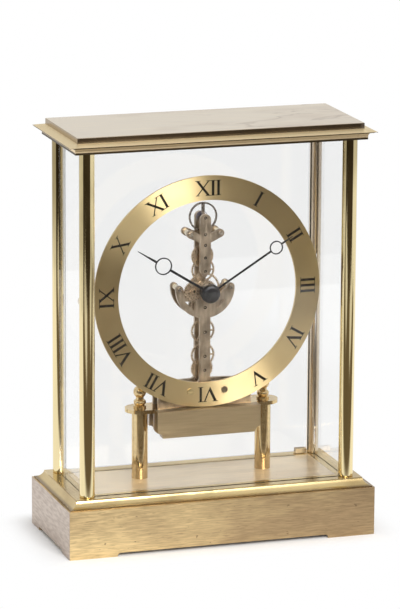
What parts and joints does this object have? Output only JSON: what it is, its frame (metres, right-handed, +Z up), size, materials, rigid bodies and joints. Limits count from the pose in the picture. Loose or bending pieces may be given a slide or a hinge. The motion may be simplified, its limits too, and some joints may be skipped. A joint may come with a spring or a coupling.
{
  "type": "desk clock",
  "caption": "Glass-cased brass desk clock: stepped plinth and cornice, round columns, chapter ring on an upright skeleton gear train, coupled hands, winding knob and hinged rear door.",
  "frame": {"origin": "middle of the base, on the table", "axes": "+X to the right seen from the front, +Y to the back, +Z up"},
  "size_m": [0.1676, 0.0728, 0.22],
  "materials": {
    "brushed_brass": "brushed, a little tarnished",
    "polished_brass": "polished",
    "satin_brass": "satin",
    "plate_brass": "lapped, pale",
    "gear_brass": "machined",
    "blackened_steel": "black lacquer",
    "steel": "turned",
    "gunmetal": "dark satin",
    "blued_steel": "blued",
    "clear_glass": "polished, clear"
  },
  "bodies": {
    "case": {"plinth": "brushed_brass", "underplate": "steel", "base_moulding": "polished_brass", "floor_plate": "satin_brass", "front_left_column": "polished_brass", "front_right_column": "polished_brass", "rear_left_column": "polished_brass", "rear_right_column": "polished_brass", "tie_rods": "steel", "cornice": "polished_brass", "top_slab": "satin_brass", "front_pane": "clear_glass", "side_panes": "clear_glass", "platform_posts": "polished_brass", "post_screws": "steel", "platform": "polished_brass", "finials": "polished_brass", "front_lower_bridge": "plate_brass", "front_upper_bridge": "plate_brass", "front_apron": "plate_brass", "rear_plate": "plate_brass", "frame_pillars": "polished_brass", "frame_screws": "steel", "chapter_ring": "satin_brass", "chapter_ring_screws": "steel", "wheel_studs": "steel", "hairspring_stud": "polished_brass"},
    "rear_door": {"door_pane": "clear_glass", "door_shoes": "polished_brass", "door_knob": "polished_brass"},
    "centre_group": {"minute_hand": "blackened_steel", "cannon_pinion": "steel", "centre_arbor": "steel", "centre_wheel": "gear_brass", "setting_knob": "polished_brass"},
    "hour_group": {"hour_hand": "blackened_steel", "hour_wheel": "gear_brass"},
    "minute_wheel_group": {"minute_wheel": "gear_brass"},
    "third_group": {"third_wheel": "gear_brass", "third_arbor": "steel"},
    "fourth_group": {"fourth_wheel": "gear_brass", "fourth_arbor": "steel"},
    "escape_group": {"escape_wheel": "gear_brass", "escape_arbor": "steel"},
    "pallet_group": {"pallet_fork": "steel"},
    "balance_group": {"balance_wheel": "gunmetal", "balance_staff": "steel", "hairspring": "blued_steel"},
    "upper_transfer_group": {"upper_transfer_wheel": "gear_brass"},
    "lower_transfer_group": {"lower_transfer_wheel": "gear_brass"},
    "second_group": {"second_wheel": "gear_brass"},
    "first_group": {"first_wheel": "gear_brass"},
    "idler_group": {"idler_wheel": "gear_brass"},
    "barrel_group": {"barrel": "gear_brass", "barrel_cover": "plate_brass", "mainspring": "steel"},
    "winding_group": {"barrel_arbor": "steel", "ratchet_wheel": "steel", "winding_knob": "polished_brass"},
    "click_group": {"click": "steel"}
  },
  "joints": [
    {"name": "minute_spin", "type": "hinge", "parent": "case", "child": "centre_group", "pos_m": [0, 0.0035, 0.1304], "axis": [0, 1, 0], "continuous": true},
    {"name": "hour_spin", "type": "hinge", "parent": "case", "child": "hour_group", "pos_m": [0, 0.0035, 0.1304], "axis": [0, 1, 0], "continuous": true},
    {"name": "minute_wheel_spin", "type": "hinge", "parent": "case", "child": "minute_wheel_group", "pos_m": [-0.0069, 0.0035, 0.1304], "axis": [0, 1, 0], "continuous": true},
    {"name": "third_spin", "type": "hinge", "parent": "case", "child": "third_group", "pos_m": [0, 0.0035, 0.1403], "axis": [0, 1, 0], "continuous": true},
    {"name": "fourth_spin", "type": "hinge", "parent": "case", "child": "fourth_group", "pos_m": [0, 0.0035, 0.1475], "axis": [0, 1, 0], "continuous": true},
    {"name": "escape_spin", "type": "hinge", "parent": "case", "child": "escape_group", "pos_m": [0, 0.0035, 0.1542], "axis": [0, 1, 0], "continuous": true},
    {"name": "upper_transfer_spin", "type": "hinge", "parent": "case", "child": "upper_transfer_group", "pos_m": [0, 0.0035, 0.1209], "axis": [0, 1, 0], "continuous": true},
    {"name": "lower_transfer_spin", "type": "hinge", "parent": "case", "child": "lower_transfer_group", "pos_m": [0, 0.0035, 0.10765], "axis": [0, 1, 0], "continuous": true},
    {"name": "second_spin", "type": "hinge", "parent": "case", "child": "second_group", "pos_m": [0, 0.0035, 0.09465], "axis": [0, 1, 0], "continuous": true},
    {"name": "first_spin", "type": "hinge", "parent": "case", "child": "first_group", "pos_m": [0, 0.0035, 0.08705], "axis": [0, 1, 0], "continuous": true},
    {"name": "idler_spin", "type": "hinge", "parent": "case", "child": "idler_group", "pos_m": [0, 0.0035, 0.08185], "axis": [0, 1, 0], "continuous": true},
    {"name": "barrel_spin", "type": "hinge", "parent": "case", "child": "barrel_group", "pos_m": [0, 0.0035, 0.06585], "axis": [0, 1, 0], "continuous": true},
    {"name": "pallet_swing", "type": "hinge", "parent": "case", "child": "pallet_group", "pos_m": [0, 0.0035, 0.15987], "axis": [0, 1, 0], "range_deg": [-3, 3]},
    {"name": "balance_swing", "type": "hinge", "parent": "case", "child": "balance_group", "pos_m": [0, 0.0035, 0.16873], "axis": [0, 1, 0], "range_deg": [-220, 220], "stiffness_Nm_per_rad": 0.0000056},
    {"name": "winding_turn", "type": "hinge", "parent": "case", "child": "winding_group", "pos_m": [0, 0.0035, 0.06585], "axis": [0, 1, 0], "range_deg": [0, 1440]},
    {"name": "click_lift", "type": "hinge", "parent": "case", "child": "click_group", "pos_m": [0.00659, 0.0097, 0.07138], "axis": [0, 1, 0], "range_deg": [0, 20]},
    {"name": "door_swing", "type": "hinge", "parent": "case", "child": "rear_door", "pos_m": [0.0645, 0.0252, 0.12], "axis": [0, 0, -1], "range_deg": [0, 100]}
  ],
  "couplings": [
    {"joint": "hour_spin", "follows": "minute_spin", "ratio": 0.083333},
    {"joint": "minute_wheel_spin", "follows": "minute_spin", "ratio": -0.33333},
    {"joint": "third_spin", "follows": "minute_spin", "ratio": -8},
    {"joint": "fourth_spin", "follows": "minute_spin", "ratio": 60},
    {"joint": "escape_spin", "follows": "minute_spin", "ratio": -600},
    {"joint": "upper_transfer_spin", "follows": "minute_spin", "ratio": -0.40741},
    {"joint": "lower_transfer_spin", "follows": "minute_spin", "ratio": 0.42308},
    {"joint": "second_spin", "follows": "minute_spin", "ratio": -0.42308},
    {"joint": "first_spin", "follows": "minute_spin", "ratio": 0.11282},
    {"joint": "idler_spin", "follows": "minute_spin", "ratio": -0.050142},
    {"joint": "barrel_spin", "follows": "minute_spin", "ratio": 0.014557}
  ]
}
